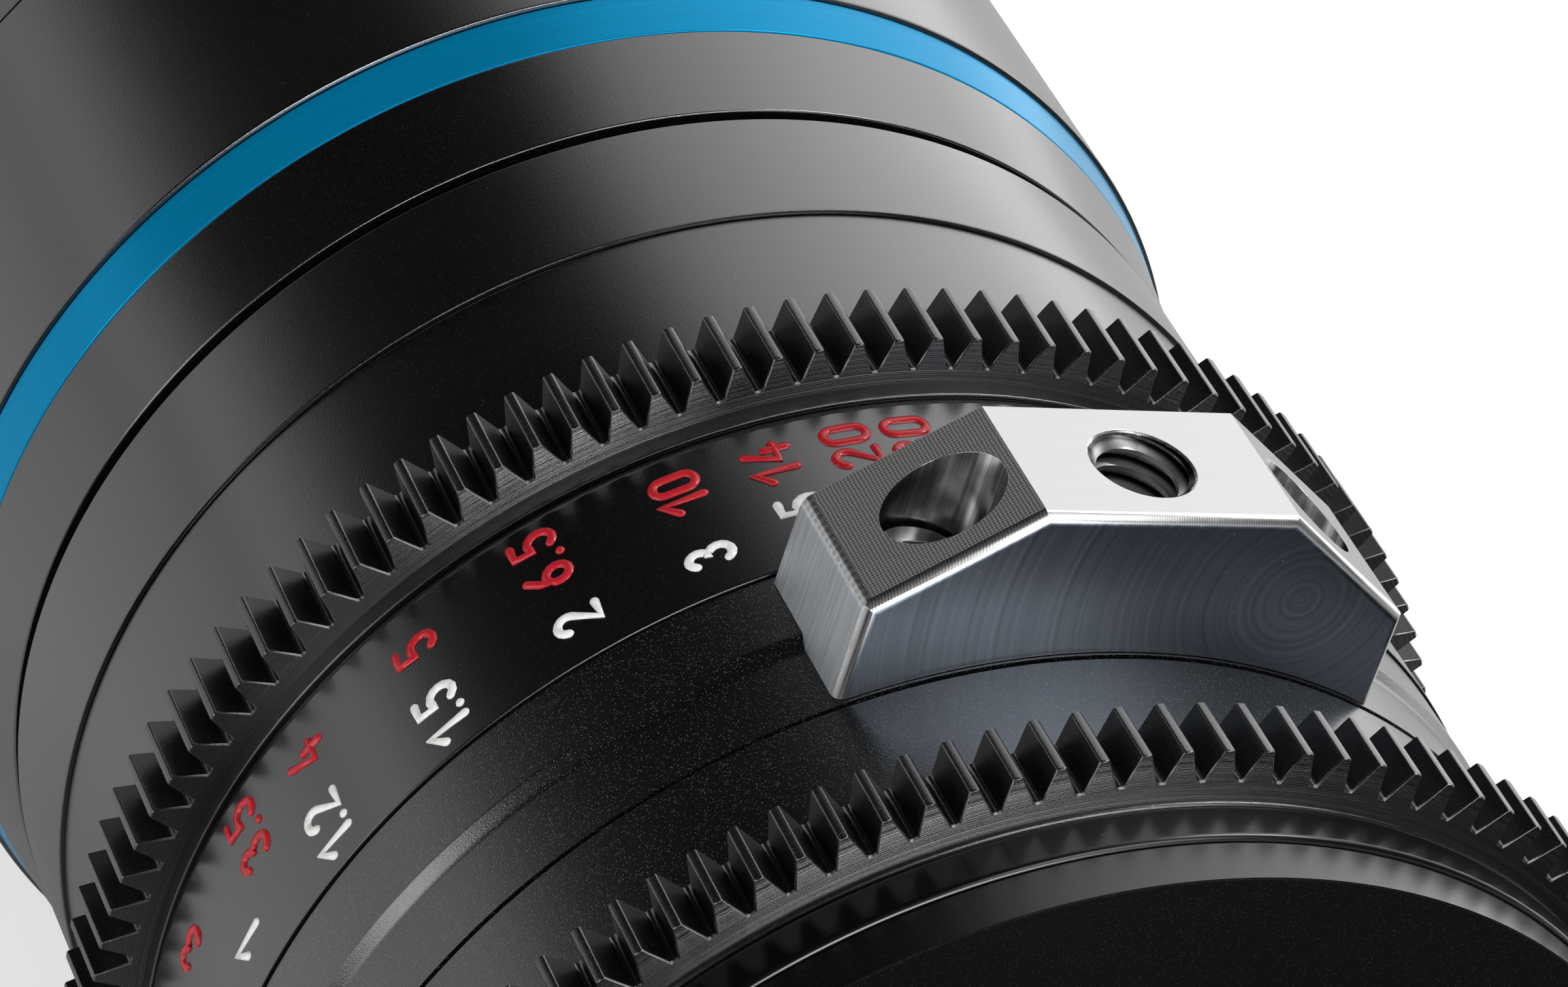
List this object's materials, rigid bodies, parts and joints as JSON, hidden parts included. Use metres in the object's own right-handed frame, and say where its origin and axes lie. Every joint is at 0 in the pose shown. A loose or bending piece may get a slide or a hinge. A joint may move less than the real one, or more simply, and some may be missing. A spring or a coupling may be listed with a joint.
{
  "type": "cinema prime lens",
  "caption": "Round-barrelled cinema prime lens with toothed focus and aperture rings, an iris, a sliding focus group, a four-lug camera mount and a machined support foot.",
  "frame": {"origin": "centre of the camera mount's seating face, on the optical axis", "axes": "+Y along the optical axis towards the front of the lens, +Z towards the support foot, +X to the right seen from the camera side"},
  "size_m": [0.0894, 0.1471, 0.0952],
  "materials": {
    "black_anodised": "satin black anodised",
    "gear_black": "satin black anodised, cut teeth",
    "black_gloss": "polished black anodised",
    "black_matt": "matt black anodised",
    "blue_anodised": "polished blue anodised",
    "bare_aluminium": "machined, bare",
    "steel": "turned stainless steel",
    "brass": "turned brass",
    "polymer": "low-friction polymer",
    "coated_glass": "polished, coated"
  },
  "bodies": {
    "barrel": {"mount_flange": "steel", "mount_shim": "brass", "mount_screws": "steel", "rear_housing": "black_anodised", "rear_trim_ring": "black_gloss", "rear_cell": "black_matt", "rear_element_inner": "coated_glass", "rear_element_outer": "coated_glass", "rear_retaining_ring": "black_matt", "rear_baffle": "black_matt", "iris_base": "black_matt", "iris_cover": "black_matt", "guide_tube": "bare_aluminium", "mid_barrel": "black_anodised", "barrel_set_screws": "steel", "support_foot": "bare_aluminium", "foot_screws": "steel", "cam_keeper_ring": "brass", "thrust_washer_rear": "polymer", "thrust_washer_front": "polymer", "front_taper_ring": "black_anodised", "accent_ring": "blue_anodised", "front_barrel": "black_anodised", "filter_ring": "black_anodised", "front_trim_ring": "black_matt", "front_cell": "black_matt", "front_element": "coated_glass", "second_element": "coated_glass", "third_element": "coated_glass", "element_spacer": "black_matt", "front_retaining_ring": "black_matt", "inner_retaining_ring": "black_matt"},
    "focus_ring_group": {"focus_ring": "black_matt", "scale_drum": "black_anodised", "focus_gear": "gear_black", "focus_grip_ring": "black_anodised", "focus_collar": "black_anodised", "cam_sleeve": "brass", "focus_drive_screws": "steel"},
    "focus_lens_group": {"focus_carriage": "black_matt", "cam_rollers": "brass", "focus_crown": "coated_glass", "focus_flint": "coated_glass", "focus_rear_element": "coated_glass", "focus_retaining_ring": "black_matt", "focus_rear_retainer": "black_matt"},
    "aperture_ring_group": {"aperture_ring": "black_anodised", "aperture_gear": "gear_black", "iris_drive_ring": "brass", "iris_drive_pin": "steel"},
    "blade_1": {"iris_blade_1": "black_matt"},
    "blade_2": {"iris_blade_2": "black_matt"},
    "blade_3": {"iris_blade_3": "black_matt"},
    "blade_4": {"iris_blade_4": "black_matt"},
    "blade_5": {"iris_blade_5": "black_matt"},
    "blade_6": {"iris_blade_6": "black_matt"},
    "blade_7": {"iris_blade_7": "black_matt"},
    "blade_8": {"iris_blade_8": "black_matt"},
    "blade_9": {"iris_blade_9": "black_matt"}
  },
  "joints": [
    {"name": "focus_turn", "type": "hinge", "parent": "barrel", "child": "focus_ring_group", "pos_m": [0, 0, 0], "axis": [0, 1, 0], "range_deg": [-88, 15]},
    {"name": "focus_travel", "type": "slide", "parent": "barrel", "child": "focus_lens_group", "axis": [0, 1, 0], "range_m": [-0.0052, 0.0009]},
    {"name": "aperture_turn", "type": "hinge", "parent": "barrel", "child": "aperture_ring_group", "pos_m": [0, 0, 0], "axis": [0, 1, 0], "range_deg": [-25, 25]},
    {"name": "blade_1_pivot", "type": "hinge", "parent": "barrel", "child": "blade_1", "pos_m": [0.0262, 0.024, 0], "axis": [0, 1, 0], "range_deg": [-15.3, 15.3]},
    {"name": "blade_2_pivot", "type": "hinge", "parent": "barrel", "child": "blade_2", "pos_m": [0.02007, 0.024, -0.01684], "axis": [0, 1, 0], "range_deg": [-15.3, 15.3]},
    {"name": "blade_3_pivot", "type": "hinge", "parent": "barrel", "child": "blade_3", "pos_m": [0.00455, 0.024, -0.0258], "axis": [0, 1, 0], "range_deg": [-15.3, 15.3]},
    {"name": "blade_4_pivot", "type": "hinge", "parent": "barrel", "child": "blade_4", "pos_m": [-0.0131, 0.024, -0.02269], "axis": [0, 1, 0], "range_deg": [-15.3, 15.3]},
    {"name": "blade_5_pivot", "type": "hinge", "parent": "barrel", "child": "blade_5", "pos_m": [-0.02462, 0.024, -0.00896], "axis": [0, 1, 0], "range_deg": [-15.3, 15.3]},
    {"name": "blade_6_pivot", "type": "hinge", "parent": "barrel", "child": "blade_6", "pos_m": [-0.02462, 0.024, 0.00896], "axis": [0, 1, 0], "range_deg": [-15.3, 15.3]},
    {"name": "blade_7_pivot", "type": "hinge", "parent": "barrel", "child": "blade_7", "pos_m": [-0.0131, 0.024, 0.02269], "axis": [0, 1, 0], "range_deg": [-15.3, 15.3]},
    {"name": "blade_8_pivot", "type": "hinge", "parent": "barrel", "child": "blade_8", "pos_m": [0.00455, 0.024, 0.0258], "axis": [0, 1, 0], "range_deg": [-15.3, 15.3]},
    {"name": "blade_9_pivot", "type": "hinge", "parent": "barrel", "child": "blade_9", "pos_m": [0.02007, 0.024, 0.01684], "axis": [0, 1, 0], "range_deg": [-15.3, 15.3]}
  ],
  "couplings": [
    {"joint": "focus_travel", "follows": "focus_turn", "m_per_rad": 0.0033423},
    {"joint": "blade_1_pivot", "follows": "aperture_turn", "ratio": 0.61},
    {"joint": "blade_2_pivot", "follows": "aperture_turn", "ratio": 0.61},
    {"joint": "blade_3_pivot", "follows": "aperture_turn", "ratio": 0.61},
    {"joint": "blade_4_pivot", "follows": "aperture_turn", "ratio": 0.61},
    {"joint": "blade_5_pivot", "follows": "aperture_turn", "ratio": 0.61},
    {"joint": "blade_6_pivot", "follows": "aperture_turn", "ratio": 0.61},
    {"joint": "blade_7_pivot", "follows": "aperture_turn", "ratio": 0.61},
    {"joint": "blade_8_pivot", "follows": "aperture_turn", "ratio": 0.61},
    {"joint": "blade_9_pivot", "follows": "aperture_turn", "ratio": 0.61}
  ]
}
